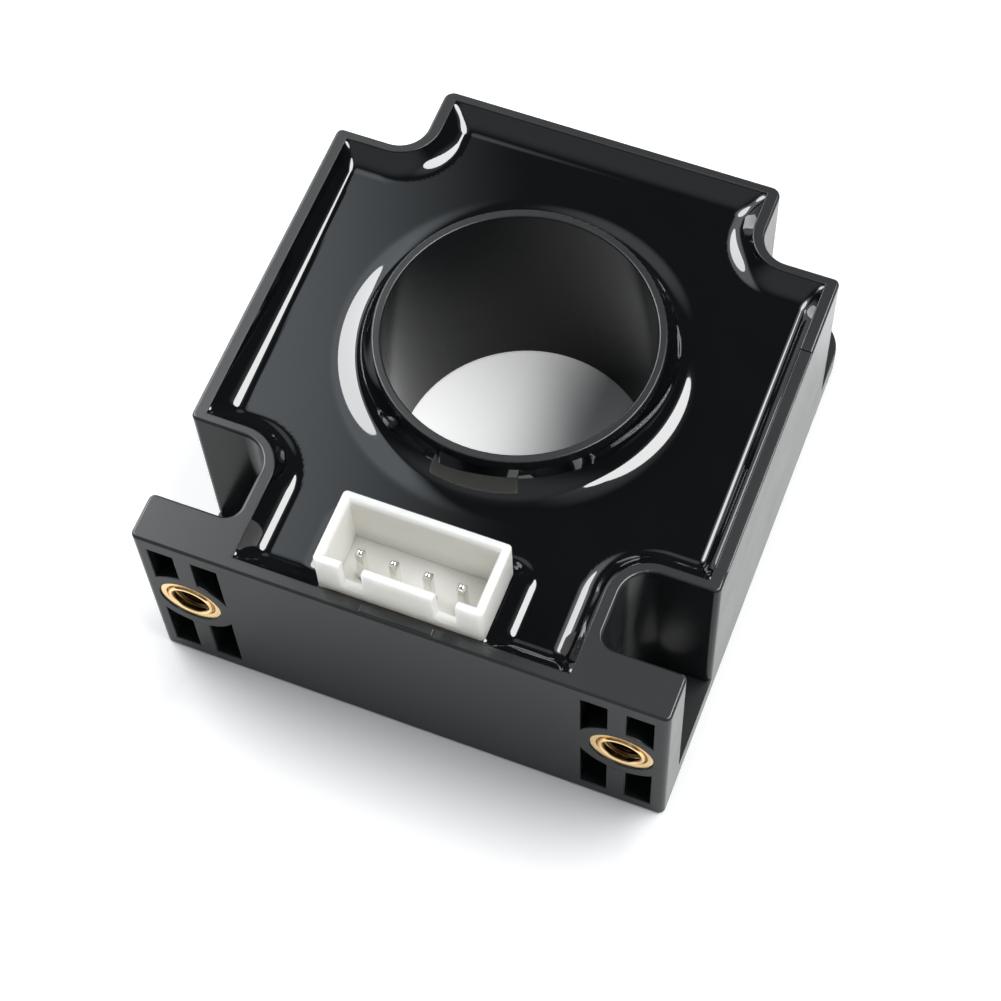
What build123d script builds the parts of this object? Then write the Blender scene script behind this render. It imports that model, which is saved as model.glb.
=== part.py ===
"""Potted Hall effect current sensor with a round conductor window, in millimetres.

X runs along the front wall, the front faces -Y and Z points up from the mounting face.
The origin is the centre of the footprint on that face.
"""
import os
from math import hypot, sqrt

from build123d import *

os.makedirs("parts", exist_ok=True)

# Moulded case: overall size and walls
case_width = 40.0
case_depth = 43.4
case_height = 17.6
side_wall = 1.0
cross_wall = 0.75
case_floor = 1.2
outer_corner = 0.5
rear_corner = 0.8
rim_round = 0.22
rim_inner_round = 0.1
foot_round = 0.25

# Front lugs and the four screw recesses
lug_depth = 3.65
recess_width = 6.5
front_recess_length = 6.5
rear_recess_length = 6.15
recess_corner = 2.3
lug_recess_corner = 1.2
flange_thickness = 2.3
rear_flange_corner = 3.3
fixing_inset = 3.4
fixing_hole_radius = 1.7

# Conductor window and its tube
bore_radius = 10.0
tube_wall = 0.66
tube_proud = 1.8
bore_from_rear = 19.5
lip_round = 0.14
bore_mouth_chamfer = 0.4

# Small steps in the rim
front_pad_half_length = 2.7
front_pad_height = 0.1
relief_start = 11.95
relief_length = 18.7
relief_depth = 0.12
relief_width = 1.25

# Core-out windows round the inserts
window_depth = 2.85
window_width = 1.94
window_rib = 1.44
window_outer_web = 1.1
window_sill = 1.4
window_head = 1.5
boss_radius = 3.45

# Brass threaded inserts
insert_height = 9.25
insert_length = 3.2
insert_radius = 2.15
insert_flange_radius = 2.4
insert_flange = 0.6
insert_groove_radius = 1.9
insert_groove_length = 0.6
insert_ring_radius = 1.75
insert_ring_height = 0.14
thread_radius = 1.25
thread_chamfer = 0.2
screw_clearance_radius = 1.6

# Potting compound
resin_drop = 1.3
wall_meniscus_rise = 1.0
wall_meniscus_radius = 2.4
tube_meniscus_rise = 2.05
tube_meniscus_radius = 2.8

# Circuit board
board_cover = 1.9
board_thickness = 1.6
board_gap = 0.5

# Four-way shrouded header, 2.5 mm pitch
header_pitch = 2.5
header_ways = 4
header_end = 2.45
header_depth = 5.75
header_height = 7.0
header_wall = 0.7
header_floor = 1.65
header_from_front = 1.15
header_corner = 0.35
header_mouth_chamfer = 0.25
key_slot_width = 1.6
key_slot_offset = 3.42
key_slot_sill = 4.1
pin_width = 0.64
pin_from_header_front = 2.35
pin_tip_height = 5.5
pin_tail = 1.6
pin_chamfer = 0.16
pin_hole_radius = 0.5
pin_solder_radius = 0.9
pin_solder_height = 0.7
pin_solder_neck = 0.48

# Gapped core and the carrier under it
core_clearance = 0.9
core_ring = 4.0
core_height = 8.0
core_gap = 2.0
carrier_floor = 0.8
carrier_clearance = 0.4
carrier_rim = 0.44
carrier_rim_height = 1.2
carrier_fit = 0.15
post_radius = 1.0
post_angles = [65, 115, 240, 300]

# Hall element in the air gap
hall_thickness = 1.5
hall_width = 4.1
hall_height = 3.1
hall_lead_width = 0.4
hall_lead_pitch = 1.27
hall_lead_count = 3
hall_lead_stub = 0.6
hall_hole_radius = 0.4
hall_solder_radius = 0.6
hall_solder_height = 0.4
hall_solder_neck = 0.3

# Electronics on the top of the board, on a ring round the tube
board_hole_clearance = 0.54
chip_standoff = 0.1
chip_length = 3.0
chip_width = 3.0
chip_height = 1.0
chip_lead_pitch = 0.65
chip_lead_rows = 4
regulator_length = 2.9
regulator_width = 1.3
regulator_height = 1.0
regulator_lead_pitch = 1.9
lead_width = 0.32
lead_thickness = 0.18
lead_reach = 0.5
lead_foot = 0.45
small_part_length = 2.0
small_part_width = 1.25
resistor_height = 0.5
capacitor_height = 1.2
diode_length = 2.7
diode_width = 1.6
diode_height = 1.1
amplifier_angle = 180
regulator_angle = 0
diode_angle = 197
resistor_angles = [28, 44, 60, 120, 136, 152]
capacitor_angles = [212, 228, 312, 328]

# Places worked out from the sizes above
front_y = -case_depth / 2
rear_y = case_depth / 2
bore_y = rear_y - bore_from_rear
tube_radius = bore_radius + tube_wall
tube_top = case_height + tube_proud
resin_level = case_height - resin_drop
board_top = resin_level - board_cover
board_bottom = board_top - board_thickness
recess_x = case_width / 2 - recess_width
front_recess_end = front_y + lug_depth + front_recess_length
rear_recess_start = rear_y - rear_recess_length
fixing_x = case_width / 2 - fixing_inset
front_fixing_y = front_y + lug_depth + front_recess_length / 2
rear_fixing_y = rear_y - rear_flange_corner

board_hole_radius = tube_radius + board_hole_clearance
header_length = header_pitch * (header_ways - 1) + 2 * header_end
header_front_y = front_y + header_from_front
header_y = header_front_y + header_depth / 2
pin_y = header_front_y + pin_from_header_front
pin_x = [header_pitch * (way - (header_ways - 1) / 2) for way in range(header_ways)]

# Radius round the bore that stays clear of every wall of the cavity
notch_centre_x = recess_x + recess_corner
notch_rounding = recess_corner + side_wall
front_notch_room = hypot(notch_centre_x, bore_y - front_recess_end + recess_corner) - notch_rounding
rear_notch_room = hypot(notch_centre_x, rear_recess_start + recess_corner - bore_y) - notch_rounding
side_room = case_width / 2 - side_wall
rear_room = bore_from_rear - cross_wall
clear_radius = min(side_room, rear_room, front_notch_room, rear_notch_room)

# Small parts stand midway across the narrowest stretch of the board round the tube
part_ring_radius = (board_hole_radius + clear_radius - board_gap) / 2
core_inner_radius = tube_radius + core_clearance
core_outer_radius = core_inner_radius + core_ring
core_bottom = case_floor + carrier_floor
core_middle = core_bottom + core_height / 2
post_ring_radius = core_outer_radius + carrier_fit + carrier_rim / 2 + post_radius
hall_y = bore_y + (core_inner_radius + core_outer_radius) / 2
hall_top = core_middle + hall_height / 2
hall_lead_y = [
    hall_y + hall_lead_pitch * (lead - (hall_lead_count - 1) / 2) for lead in range(hall_lead_count)
]

front_plane = Plane(origin=(0, front_y, 0), x_dir=(1, 0, 0), z_dir=(0, -1, 0))
floor_plane = Plane.XY.offset(case_floor)


def nearest_corners(points):
    """Corners of the sketch in work that lie nearest to the given points"""
    return [vertices().sort_by_distance(point)[0] for point in points]


def case_plan():
    """Outline of the case above its flanges, with the four screw recesses cut in"""
    Rectangle(case_width, case_depth)
    for side in (-1, 1):
        recess_middle = side * (case_width - recess_width) / 2
        with Locations((recess_middle, front_fixing_y)):
            Rectangle(recess_width, front_recess_length, mode=Mode.SUBTRACT)
        with Locations((recess_middle, rear_y - rear_recess_length / 2)):
            Rectangle(recess_width, rear_recess_length, mode=Mode.SUBTRACT)
    for side in (-1, 1):
        edge_x = side * case_width / 2
        inner_x = side * recess_x
        lug_back = front_y + lug_depth
        fillet(nearest_corners([(inner_x, lug_back)]), lug_recess_corner)
        fillet(
            nearest_corners([(inner_x, front_recess_end), (inner_x, rear_recess_start)]), recess_corner
        )
        fillet(
            nearest_corners(
                [
                    (edge_x, front_y),
                    (edge_x, lug_back),
                    (edge_x, front_recess_end),
                    (edge_x, rear_recess_start),
                ]
            ),
            outer_corner,
        )
        fillet(nearest_corners([(inner_x, rear_y)]), rear_corner)


def pocket_plan():
    """Outline of the cavity inside the walls, which the compound fills"""
    length = case_depth - side_wall - cross_wall
    wall_x = recess_x - side_wall
    front_corner_end = front_recess_end + cross_wall
    rear_corner_start = rear_recess_start - cross_wall
    with Locations((0, front_y + side_wall + length / 2)):
        Rectangle(case_width - 2 * side_wall, length)
    for side in (-1, 1):
        notch_middle = side * (wall_x + recess_width / 2)
        front_length = front_corner_end - front_y
        with Locations((notch_middle, front_y + front_length / 2)):
            Rectangle(recess_width, front_length, mode=Mode.SUBTRACT)
        rear_length = rear_y - rear_corner_start
        with Locations((notch_middle, rear_y - rear_length / 2)):
            Rectangle(recess_width, rear_length, mode=Mode.SUBTRACT)
    for side in (-1, 1):
        fillet(
            nearest_corners(
                [(side * wall_x, front_corner_end), (side * wall_x, rear_corner_start)]
            ),
            recess_corner + side_wall,
        )


def insert_section(inner_radius):
    """Half section of an insert: radius along local X, depth along local Y"""
    groove_start = (insert_length + insert_flange - insert_groove_length) / 2
    groove_end = groove_start + insert_groove_length
    with BuildLine() as outline:
        Polyline(
            (inner_radius, 0),
            (insert_flange_radius, 0),
            (insert_flange_radius, insert_flange),
            (insert_radius, insert_flange),
            (insert_radius, groove_start),
            (insert_groove_radius, groove_start),
            (insert_groove_radius, groove_end),
            (insert_radius, groove_end),
            (insert_radius, insert_length),
            (inner_radius, insert_length),
            close=True,
        )
    make_face(outline.edges())


def insert_place(side):
    """Centre of an insert's mouth on the front face"""
    return (side * fixing_x, front_y, insert_height)


# Case: one black moulding
with BuildPart() as case:
    with BuildSketch():
        case_plan()
    extrude(amount=case_height)
    # The base flanges close the recesses below and carry the fixing screws
    with BuildSketch():
        Rectangle(case_width, case_depth)
        fillet(
            nearest_corners([(-case_width / 2, rear_y), (case_width / 2, rear_y)]), rear_flange_corner
        )
        fillet(
            nearest_corners([(-case_width / 2, front_y), (case_width / 2, front_y)]), outer_corner
        )
    extrude(amount=flange_thickness)
    rim_edges = case.faces().sort_by(Axis.Z)[-1].outer_wire().edges()
    fillet(rim_edges, rim_round)
    with BuildSketch(floor_plane):
        pocket_plan()
    extrude(amount=case_height, mode=Mode.SUBTRACT)
    cavity_edges = case.faces().sort_by(Axis.Z)[-1].inner_wires()[0].edges()
    fillet(cavity_edges, rim_inner_round)
    # Window tube, through the floor
    with BuildSketch():
        with Locations((0, bore_y)):
            Circle(tube_radius)
    extrude(amount=tube_top)
    with BuildSketch():
        with Locations((0, bore_y)):
            Circle(bore_radius)
    extrude(amount=tube_top, mode=Mode.SUBTRACT)
    fillet(case.faces().sort_by(Axis.Z)[-1].edges(), lip_round)
    base_face = case.faces().sort_by(Axis.Z)[0]
    fillet(base_face.outer_wire().edges(), foot_round)
    base_face = case.faces().sort_by(Axis.Z)[0]
    chamfer(base_face.inner_wires()[0].edges(), bore_mouth_chamfer)
    # Raised pad in front of the header and a lowered run of the right rim
    with BuildSketch(Plane.XY.offset(case_height - rim_round)):
        with Locations((0, front_y + (rim_round + side_wall - rim_inner_round) / 2)):
            Rectangle(2 * front_pad_half_length, side_wall - rim_round - rim_inner_round)
    extrude(amount=rim_round + front_pad_height)
    with BuildSketch(Plane.XY.offset(case_height - relief_depth)):
        with Locations((case_width / 2, front_y + relief_start + relief_length / 2)):
            Rectangle(2 * relief_width, relief_length)
    extrude(amount=case_height, mode=Mode.SUBTRACT)
    # Fixing holes through the flanges
    with BuildSketch():
        with Locations(
            (-fixing_x, front_fixing_y),
            (fixing_x, front_fixing_y),
            (-fixing_x, rear_fixing_y),
            (fixing_x, rear_fixing_y),
        ):
            Circle(fixing_hole_radius)
    extrude(amount=flange_thickness, mode=Mode.SUBTRACT)
    # Core-out windows, cut short by the round boss of each insert
    with BuildSketch(front_plane):
        outer_window_x = case_width / 2 - window_outer_web - window_width / 2
        inner_window_x = outer_window_x - window_rib - window_width
        window_length = case_height - window_sill - window_head
        window_middle = window_sill + window_length / 2
        with Locations(
            (-outer_window_x, window_middle),
            (-inner_window_x, window_middle),
            (inner_window_x, window_middle),
            (outer_window_x, window_middle),
        ):
            Rectangle(window_width, window_length)
        with Locations((-fixing_x, insert_height), (fixing_x, insert_height)):
            Circle(boss_radius, mode=Mode.SUBTRACT)
    extrude(amount=-window_depth, mode=Mode.SUBTRACT)
    # Seats of the inserts, with a clearance hole on into the recess
    for side in (-1, 1):
        with BuildSketch(Plane(insert_place(side))):
            insert_section(0)
        revolve(axis=Axis(insert_place(side), (0, 1, 0)), mode=Mode.SUBTRACT)
    with BuildSketch(front_plane):
        with Locations((-fixing_x, insert_height), (fixing_x, insert_height)):
            Circle(screw_clearance_radius)
    extrude(amount=-lug_depth - lug_recess_corner, mode=Mode.SUBTRACT)

# Inserts: turned brass, moulded into the lugs
inserts = {}
for side_name, side in (("left", -1), ("right", 1)):
    place = insert_place(side)
    with BuildPart() as insert:
        with BuildSketch(Plane(place)):
            insert_section(thread_radius)
        revolve(axis=Axis(place, (0, 1, 0)))
        # The flange face stands back from the ring round the thread
        with BuildSketch(Plane(place, x_dir=(1, 0, 0), z_dir=(0, -1, 0))):
            Circle(insert_flange_radius)
            Circle(insert_ring_radius, mode=Mode.SUBTRACT)
        extrude(amount=-insert_ring_height, mode=Mode.SUBTRACT)
        mouth = insert.edges().filter_by(GeomType.CIRCLE).sort_by(Axis.Y)[0:2].sort_by(SortBy.RADIUS)[0]
        chamfer(mouth, thread_chamfer)
    inserts[side_name] = insert

# Header housing: white moulding, open at the top, with two key slots in its front wall
with BuildPart() as header_housing:
    with BuildSketch(Plane.XY.offset(board_top)):
        with Locations((0, header_y)):
            RectangleRounded(header_length, header_depth, header_corner)
    extrude(amount=header_height)
    with BuildSketch(Plane.XY.offset(board_top + header_floor)):
        with Locations((0, header_y)):
            Rectangle(header_length - 2 * header_wall, header_depth - 2 * header_wall)
    extrude(amount=header_height, mode=Mode.SUBTRACT)
    mouth_edges = header_housing.faces().sort_by(Axis.Z)[-1].inner_wires()[0].edges()
    chamfer(mouth_edges, header_mouth_chamfer)
    with BuildSketch(Plane.XY.offset(board_top + key_slot_sill)):
        with Locations(
            (-key_slot_offset, header_front_y + header_wall / 2),
            (key_slot_offset, header_front_y + header_wall / 2),
        ):
            Rectangle(key_slot_width, header_wall + header_mouth_chamfer)
    extrude(amount=header_height, mode=Mode.SUBTRACT)
    with BuildSketch(Plane.XY.offset(board_top)):
        with Locations([(x, pin_y) for x in pin_x]):
            Rectangle(pin_width, pin_width)
    extrude(amount=header_floor, mode=Mode.SUBTRACT)

# Header pins: square tinned posts, soldered into the board
pins = []
for x in pin_x:
    with BuildPart() as pin:
        with BuildSketch(Plane.XY.offset(board_bottom - pin_tail)):
            with Locations((x, pin_y)):
                Rectangle(pin_width, pin_width)
        extrude(amount=board_thickness + pin_tail + pin_tip_height)
        chamfer(pin.faces().sort_by(Axis.Z)[-1].edges(), length=2 * pin_chamfer, length2=pin_chamfer)
        chamfer(pin.faces().sort_by(Axis.Z)[0].edges(), pin_chamfer)
    pins.append(pin)

# Gapped core: a ring that is open at the rear for the Hall element
with BuildPart() as magnetic_core:
    with BuildSketch(Plane.XY.offset(core_bottom)):
        with Locations((0, bore_y)):
            Circle(core_outer_radius)
            Circle(core_inner_radius, mode=Mode.SUBTRACT)
        with Locations((0, hall_y)):
            Rectangle(core_gap, core_outer_radius, mode=Mode.SUBTRACT)
    extrude(amount=core_height)

# Core carrier: tray on the case floor with posts that hold up the board
with BuildPart() as core_carrier:
    with BuildSketch(floor_plane):
        with Locations((0, bore_y)):
            Circle(core_outer_radius + carrier_fit + carrier_rim)
            Circle(tube_radius + carrier_clearance, mode=Mode.SUBTRACT)
    extrude(amount=carrier_floor)
    with BuildSketch(Plane.XY.offset(core_bottom)):
        with Locations((0, bore_y)):
            Circle(core_outer_radius + carrier_fit + carrier_rim)
            Circle(core_outer_radius + carrier_fit, mode=Mode.SUBTRACT)
            Circle(core_inner_radius - carrier_fit)
            Circle(tube_radius + carrier_clearance, mode=Mode.SUBTRACT)
    extrude(amount=carrier_rim_height)
    with BuildSketch(floor_plane):
        for angle in post_angles:
            with Locations((0, bore_y)):
                with PolarLocations(post_ring_radius, 1, start_angle=angle):
                    Circle(post_radius)
    extrude(amount=board_bottom - case_floor)

# Hall element and its leads
with BuildPart() as hall_sensor:
    with BuildSketch(Plane.XY.offset(core_middle - hall_height / 2)):
        with Locations((0, hall_y)):
            Rectangle(hall_thickness, hall_width)
    extrude(amount=hall_height)

hall_leads = []
for y in hall_lead_y:
    with BuildPart() as hall_lead:
        with BuildSketch(Plane.XY.offset(hall_top)):
            with Locations((0, y)):
                Rectangle(hall_lead_width, hall_lead_width)
        extrude(amount=board_top + hall_lead_stub - hall_top)
    hall_leads.append(hall_lead)

# Circuit board: follows the cavity, with holes for the tube, the pins and the leads
with BuildPart() as circuit_board:
    with BuildSketch(Plane.XY.offset(board_bottom)):
        pocket_plan()
        offset(amount=-board_gap)
        with Locations((0, bore_y)):
            Circle(board_hole_radius, mode=Mode.SUBTRACT)
        with Locations([(x, pin_y) for x in pin_x]):
            Circle(pin_hole_radius, mode=Mode.SUBTRACT)
        with Locations([(0, y) for y in hall_lead_y]):
            Circle(hall_hole_radius, mode=Mode.SUBTRACT)
    extrude(amount=board_thickness)

# Solder joints: a filled hole and a cone on the far side of the board
with BuildPart() as header_solder:
    with BuildSketch(Plane.XY.offset(board_bottom)):
        with Locations([(x, pin_y) for x in pin_x]):
            Circle(pin_hole_radius)
    extrude(amount=board_thickness)
    for x in pin_x:
        with Locations((x, pin_y, board_bottom - pin_solder_height / 2)):
            Cone(pin_solder_neck, pin_solder_radius, pin_solder_height)
    for pin in pins:
        add(pin.part, mode=Mode.SUBTRACT)

with BuildPart() as hall_solder:
    with BuildSketch(Plane.XY.offset(board_bottom)):
        with Locations([(0, y) for y in hall_lead_y]):
            Circle(hall_hole_radius)
    extrude(amount=board_thickness)
    for y in hall_lead_y:
        with Locations((0, y, board_top + hall_solder_height / 2)):
            Cone(hall_solder_radius, hall_solder_neck, hall_solder_height)
    for hall_lead in hall_leads:
        add(hall_lead.part, mode=Mode.SUBTRACT)


def ring_plane(angle):
    """Plane on the board with local X pointing out from the bore at the given angle"""
    turned = Plane(origin=(0, bore_y, board_top)).rotated((0, 0, angle))
    return turned.shift_origin(turned.from_local_coords((part_ring_radius, 0, 0)))


def gull_leads(plane, body_width, body_height, rows, both_sides):
    """Bent leads along both long sides of a chip body"""
    root = body_width / 2
    middle = chip_standoff + body_height / 2
    upper = middle + lead_thickness / 2
    lower = middle - lead_thickness / 2
    knee = root + lead_reach
    toe = knee + lead_foot
    for row in rows:
        for side in both_sides(row):
            lead_plane = Plane(
                origin=plane.from_local_coords((0, row + lead_width / 2, 0)),
                x_dir=plane.x_dir * side,
                z_dir=plane.y_dir * -side,
            )
            with BuildSketch(lead_plane) as section:
                with BuildLine():
                    Polyline(
                        (root, upper),
                        (knee, upper),
                        (knee, lead_thickness),
                        (toe, lead_thickness),
                        (toe, 0),
                        (knee - lead_thickness, 0),
                        (knee - lead_thickness, lower),
                        (root, lower),
                        close=True,
                    )
                make_face()
            extrude(section.sketch, amount=lead_width * side)


# Amplifier and supply regulator with their leads
amplifier_plane = ring_plane(amplifier_angle)
with BuildPart() as amplifier_chip:
    with BuildSketch(amplifier_plane.offset(chip_standoff)):
        Rectangle(chip_width, chip_length)
    extrude(amount=chip_height)

with BuildPart() as amplifier_leads:
    chip_rows = [chip_lead_pitch * (row - (chip_lead_rows - 1) / 2) for row in range(chip_lead_rows)]
    gull_leads(amplifier_plane, chip_width, chip_height, chip_rows, lambda row: (-1, 1))

regulator_plane = ring_plane(regulator_angle)
with BuildPart() as regulator_chip:
    with BuildSketch(regulator_plane.offset(chip_standoff)):
        Rectangle(regulator_width, regulator_length)
    extrude(amount=regulator_height)

with BuildPart() as regulator_leads:
    regulator_rows = [-regulator_lead_pitch / 2, 0, regulator_lead_pitch / 2]
    gull_leads(
        regulator_plane,
        regulator_width,
        regulator_height,
        regulator_rows,
        lambda row: (1,) if row == 0 else (-1,),
    )


def chip_part(angle, length, width, height):
    """A small two-ended component that lies across the ring"""
    with BuildPart() as component:
        with BuildSketch(ring_plane(angle)):
            Rectangle(width, length)
        extrude(amount=height)
    return component


resistors = [
    chip_part(angle, small_part_length, small_part_width, resistor_height) for angle in resistor_angles
]
capacitors = [
    chip_part(angle, small_part_length, small_part_width, capacitor_height)
    for angle in capacitor_angles
]
diode = chip_part(diode_angle, diode_length, diode_width, diode_height)

# Every piece but the case and the compound, by the name of its file
pieces = {
    "header_housing": header_housing,
    "header_solder": header_solder,
    "insert_left": inserts["left"],
    "insert_right": inserts["right"],
    "magnetic_core": magnetic_core,
    "core_carrier": core_carrier,
    "circuit_board": circuit_board,
    "hall_sensor": hall_sensor,
    "hall_solder": hall_solder,
    "amplifier_chip": amplifier_chip,
    "amplifier_leads": amplifier_leads,
    "regulator_chip": regulator_chip,
    "regulator_leads": regulator_leads,
    "diode": diode,
}
for number, pin in enumerate(pins, 1):
    pieces[f"header_pin_{number}"] = pin
for number, hall_lead in enumerate(hall_leads, 1):
    pieces[f"hall_lead_{number}"] = hall_lead
for number, resistor in enumerate(resistors, 1):
    pieces[f"resistor_{number}"] = resistor
for number, capacitor in enumerate(capacitors, 1):
    pieces[f"capacitor_{number}"] = capacitor


def meniscus_start(radius, rise):
    """How far behind a wetted face the arc of its meniscus starts"""
    return radius - sqrt(radius**2 - (radius - rise) ** 2)


# Potting compound: fills the cavity round all that stands in it
with BuildPart() as potting_compound:
    with BuildSketch(floor_plane):
        pocket_plan()
        with Locations((0, bore_y)):
            Circle(tube_radius, mode=Mode.SUBTRACT)
    extrude(amount=resin_level + wall_meniscus_rise - case_floor)
    # It climbs highest at the tube
    with BuildSketch(Plane.XY.offset(resin_level)):
        with Locations((0, bore_y)):
            Circle(tube_radius + tube_meniscus_radius)
            Circle(tube_radius, mode=Mode.SUBTRACT)
    extrude(amount=tube_meniscus_rise)
    # The surface dips in arcs from the walls, the header and the tube to its level
    with BuildPart(mode=Mode.PRIVATE) as dip:
        wall_start = meniscus_start(wall_meniscus_radius, wall_meniscus_rise)
        tube_start = meniscus_start(tube_meniscus_radius, tube_meniscus_rise)
        with BuildSketch(Plane.XY.offset(resin_level)):
            pocket_plan()
            offset(amount=wall_start, kind=Kind.INTERSECTION)
            wetted_x = header_length / 2 - wall_start
            wetted_y = header_front_y + header_depth - wall_start
            with Locations((0, wetted_y - case_depth / 2)):
                Rectangle(2 * wetted_x, case_depth, mode=Mode.SUBTRACT)
            wetted_corners = nearest_corners([(-wetted_x, wetted_y), (wetted_x, wetted_y)])
            fillet(wetted_corners, header_corner)
            with Locations((0, bore_y)):
                Circle(tube_radius - tube_start, mode=Mode.SUBTRACT)
        extrude(amount=tube_meniscus_rise + wall_meniscus_radius)
        fillet(dip.faces().sort_by(Axis.Z)[0].outer_wire().edges(), wall_meniscus_radius)
        fillet(dip.faces().sort_by(Axis.Z)[0].inner_wires()[0].edges(), tube_meniscus_radius)
    add(dip.part, mode=Mode.SUBTRACT)
    with BuildSketch(Plane.XY.offset(board_top)):
        with Locations((0, header_y)):
            RectangleRounded(header_length, header_depth, header_corner)
    extrude(amount=header_height, mode=Mode.SUBTRACT)
    for name, piece in pieces.items():
        if not name.startswith("insert"):
            add(piece.part, mode=Mode.SUBTRACT)

pieces["case"] = case
pieces["potting_compound"] = potting_compound
for name, piece in pieces.items():
    piece.part.label = name
    export_step(piece.part, f"parts/{name}.step")
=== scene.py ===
"""Potted Hall effect current sensor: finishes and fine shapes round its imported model, in metres"""

import math

import bmesh
import bpy
from mathutils import Matrix, Quaternion, Vector


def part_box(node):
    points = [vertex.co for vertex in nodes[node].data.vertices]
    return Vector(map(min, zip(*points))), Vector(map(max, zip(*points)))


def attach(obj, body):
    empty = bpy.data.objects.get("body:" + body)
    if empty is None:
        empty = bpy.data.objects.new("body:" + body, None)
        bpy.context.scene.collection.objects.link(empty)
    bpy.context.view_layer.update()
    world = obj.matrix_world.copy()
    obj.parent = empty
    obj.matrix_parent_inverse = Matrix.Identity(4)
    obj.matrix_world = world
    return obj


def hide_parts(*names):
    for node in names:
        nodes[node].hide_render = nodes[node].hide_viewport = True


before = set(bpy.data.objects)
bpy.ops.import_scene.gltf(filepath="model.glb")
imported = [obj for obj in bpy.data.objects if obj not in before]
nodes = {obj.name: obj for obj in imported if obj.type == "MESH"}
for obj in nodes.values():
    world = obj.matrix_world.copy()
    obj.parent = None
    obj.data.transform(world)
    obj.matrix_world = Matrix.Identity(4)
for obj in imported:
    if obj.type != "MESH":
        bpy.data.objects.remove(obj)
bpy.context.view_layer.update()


# Case: one moulding of black glass-filled polyester, open at the top, with the conductor tube
# standing on its floor. The mould leaves a fine even skin and a small radius on every corner.
weld_distance = 1e-6
flat_angle = math.radians(0.3)
sharp_angle = math.radians(35)
case_edge_radius = 0.0001
bore_y = 0.0022
bore_radius = 0.01
tube_radius = 0.01066
lip_radius = 0.00014
tube_wall_tilt = 0.1
wall_normal_z = 0.3
top_normal_z = 0.9
plastic_black = (0.011, 0.0122, 0.013)
plastic_grey = (0.017, 0.0185, 0.0195)


def take_up(piece):
    """Make this piece the only one selected, and the active one"""
    bpy.ops.object.select_all(action="DESELECT")
    piece.select_set(True)
    bpy.context.view_layer.objects.active = piece


def welded_copy(node, name):
    """A node's mesh as a new piece, with its loose triangles joined into whole faces"""
    piece = bpy.data.objects.new(name, nodes[node].data.copy())
    bpy.context.scene.collection.objects.link(piece)
    piece.data.materials.clear()
    take_up(piece)
    bpy.ops.object.mode_set(mode="EDIT")
    bpy.ops.mesh.select_all(action="SELECT")
    bpy.ops.mesh.customdata_custom_splitnormals_clear()
    bpy.ops.mesh.remove_doubles(threshold=weld_distance)
    bpy.ops.mesh.dissolve_limited(angle_limit=flat_angle)
    bpy.ops.object.mode_set(mode="OBJECT")
    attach(piece, "root")
    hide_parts(node)
    return piece


def round_edges(piece, radius, segments=2, left_out=None):
    """Give sharp outer corners a small radius within the piece's own box, none where left out"""
    take_up(piece)
    corners = bmesh.new()
    corners.from_mesh(piece.data)
    weight = corners.edges.layers.float.new("bevel_weight_edge")
    for edge in corners.edges:
        if edge.is_manifold and edge.is_convex and edge.calc_face_angle() > sharp_angle:
            kept = left_out and all(left_out(vert.co) for vert in edge.verts)
            edge[weight] = 0.0 if kept else 1.0
    corners.to_mesh(piece.data)
    corners.free()
    rounding = piece.modifiers.new("rounding", "BEVEL")
    rounding.width = radius
    rounding.segments = segments
    rounding.limit_method = "WEIGHT"
    rounding.use_clamp_overlap = False
    rounding.miter_outer = "MITER_ARC"
    low = [min(vert.co[axis] for vert in piece.data.vertices) for axis in range(3)]
    high = [max(vert.co[axis] for vert in piece.data.vertices) for axis in range(3)]
    bpy.ops.object.modifier_apply(modifier=rounding.name)
    for vert in piece.data.vertices:
        for axis in range(3):
            vert.co[axis] = min(max(vert.co[axis], low[axis]), high[axis])


def smooth(piece):
    """Smooth shading that large faces hold flat"""
    take_up(piece)
    bpy.ops.object.shade_smooth_by_angle(angle=sharp_angle)
    weighting = piece.modifiers.new("weighting", "WEIGHTED_NORMAL")
    weighting.keep_sharp = True
    bpy.ops.object.modifier_apply(modifier=weighting.name)


def new_group(name, inputs, outputs):
    """An empty node group with float inputs, given with their values, and named outputs"""
    group = bpy.data.node_groups.new(name, "ShaderNodeTree")
    for socket, value in inputs.items():
        made = group.interface.new_socket(socket, in_out="INPUT", socket_type="NodeSocketFloat")
        made.default_value = value
    for socket, kind in outputs.items():
        group.interface.new_socket(socket, in_out="OUTPUT", socket_type=kind)
    group.nodes.new("NodeGroupInput").name = "in"
    group.nodes.new("NodeGroupOutput").name = "out"
    return group


def add_node(tree, kind, **settings):
    """A node of this kind with its options set"""
    made = tree.nodes.new(kind)
    for setting, value in settings.items():
        setattr(made, setting, value)
    return made


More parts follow.
